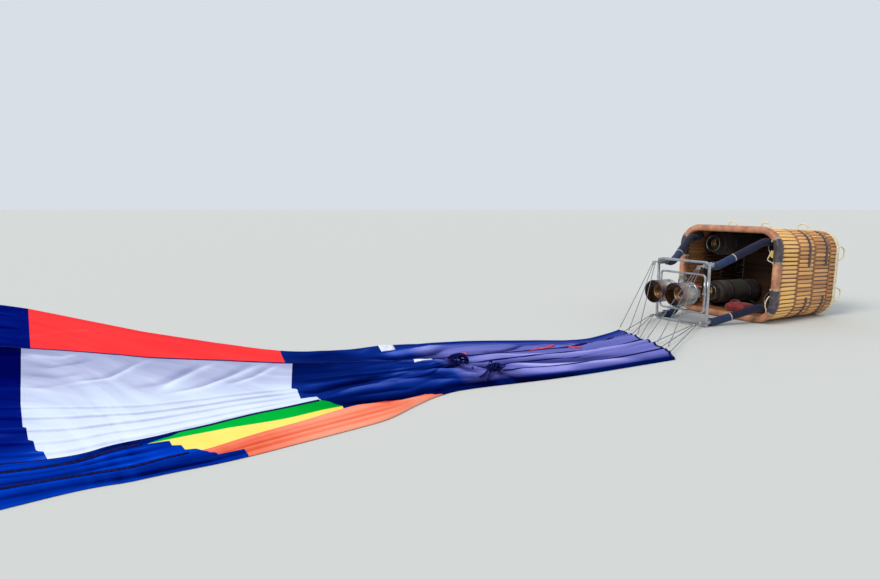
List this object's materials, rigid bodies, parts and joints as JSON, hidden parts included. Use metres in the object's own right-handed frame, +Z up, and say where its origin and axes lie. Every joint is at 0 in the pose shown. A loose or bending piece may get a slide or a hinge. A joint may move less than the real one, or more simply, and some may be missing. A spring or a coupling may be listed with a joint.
{
  "type": "hot air balloon",
  "caption": "Hot air balloon laid out to inflate: wicker basket on its side, burner on a gimballed frame, wires, and the deflated envelope fanned out on the ground.",
  "frame": {"origin": "on the ground, under the middle of the whole layout's box", "axes": "+Z up; X runs along the layout, +X at the basket and -X at the crown; +Y away from the side that the coloured panels face"},
  "size_m": [23.6934, 11.5996, 1.1707],
  "materials": {
    "willow": "woven willow and cane, semi-matt",
    "floor_board": "dark plywood",
    "skid_wood": "worn hardwood",
    "tan_leather": "tan hide, padded and stitched",
    "dark_leather": "blue-black hide",
    "cream_rope": "cream rawhide and rope",
    "cylinder_cover": "brown padded cover",
    "red_cloth": "coated cloth",
    "yellow_cloth": "coated cloth",
    "steel": "stainless",
    "cast_alloy": "machined blocks",
    "coil_steel": "heat-tinted stainless",
    "pole_sleeve": "navy padded sleeve",
    "wire": "stranded stainless wire",
    "alloy_ring": "satin",
    "skirt_cloth": "lilac-blue heat-resistant cloth, slight sheen",
    "navy_fabric": "coated ripstop nylon",
    "red_fabric": "coated ripstop nylon",
    "white_fabric": "coated ripstop nylon",
    "green_fabric": "coated ripstop nylon",
    "yellow_fabric": "coated ripstop nylon",
    "orange_fabric": "coated ripstop nylon"
  },
  "bodies": {
    "root": {"basket_wall": "willow", "basket_floor": "floor_board", "floor_skid_1": "skid_wood", "floor_skid_2": "skid_wood", "floor_skid_3": "skid_wood", "rim_roll": "tan_leather", "rim_guard_near_top": "dark_leather", "rim_guard_far_top": "dark_leather", "rim_guard_near_low": "dark_leather", "rim_guard_far_low": "dark_leather", "floor_edging": "cream_rope", "rope_handle_1": "cream_rope", "rope_handle_2": "cream_rope", "rope_handle_3": "cream_rope", "fuel_cylinder_near_top": "cylinder_cover", "fuel_cylinder_far_top": "cylinder_cover", "fuel_cylinder_near_low": "cylinder_cover", "fuel_cylinder_far_low": "cylinder_cover", "red_bag": "red_cloth", "yellow_pouch": "yellow_cloth", "burner_frame": "steel", "pole_near_top": "pole_sleeve", "pole_far_top": "pole_sleeve", "pole_near_low": "pole_sleeve", "pole_far_low": "pole_sleeve", "karabiner_near_top": "steel", "karabiner_far_top": "steel", "karabiner_near_low": "steel", "karabiner_far_low": "steel", "flying_wire_near_top_1": "wire", "flying_wire_near_top_2": "wire", "flying_wire_near_top_3": "wire", "flying_wire_far_top_1": "wire", "flying_wire_far_top_2": "wire", "flying_wire_far_top_3": "wire", "flying_wire_near_low_1": "wire", "flying_wire_near_low_2": "wire", "flying_wire_near_low_3": "wire", "flying_wire_far_low_1": "wire", "flying_wire_far_low_2": "wire", "flying_wire_far_low_3": "wire", "envelope_skirt": "skirt_cloth", "envelope_throat": "navy_fabric", "panel_red": "red_fabric", "panel_white": "white_fabric", "panel_green": "green_fabric", "panel_yellow": "yellow_fabric", "panel_orange": "orange_fabric", "envelope_far_gores": "navy_fabric", "envelope_near_gores": "navy_fabric", "envelope_shoulder": "navy_fabric", "crown_valve": "navy_fabric", "crown_ring": "alloy_ring"},
    "gimbal": {"gimbal_ring": "steel"},
    "burner": {"burner_block": "cast_alloy", "burner_can_near": "steel", "burner_coil_near": "coil_steel", "burner_can_far": "steel", "burner_coil_far": "coil_steel"}
  },
  "joints": [
    {"name": "gimbal_pitch", "type": "hinge", "parent": "root", "child": "gimbal", "pos_m": [9.6515, 2.9938, 0.3803], "axis": [-0.4939, 0.8695, 0], "range_deg": [-15, 15]},
    {"name": "burner_yaw", "type": "hinge", "parent": "gimbal", "child": "burner", "pos_m": [9.6515, 2.9938, 0.3803], "axis": [0, 0, 1], "range_deg": [-15, 15]}
  ]
}
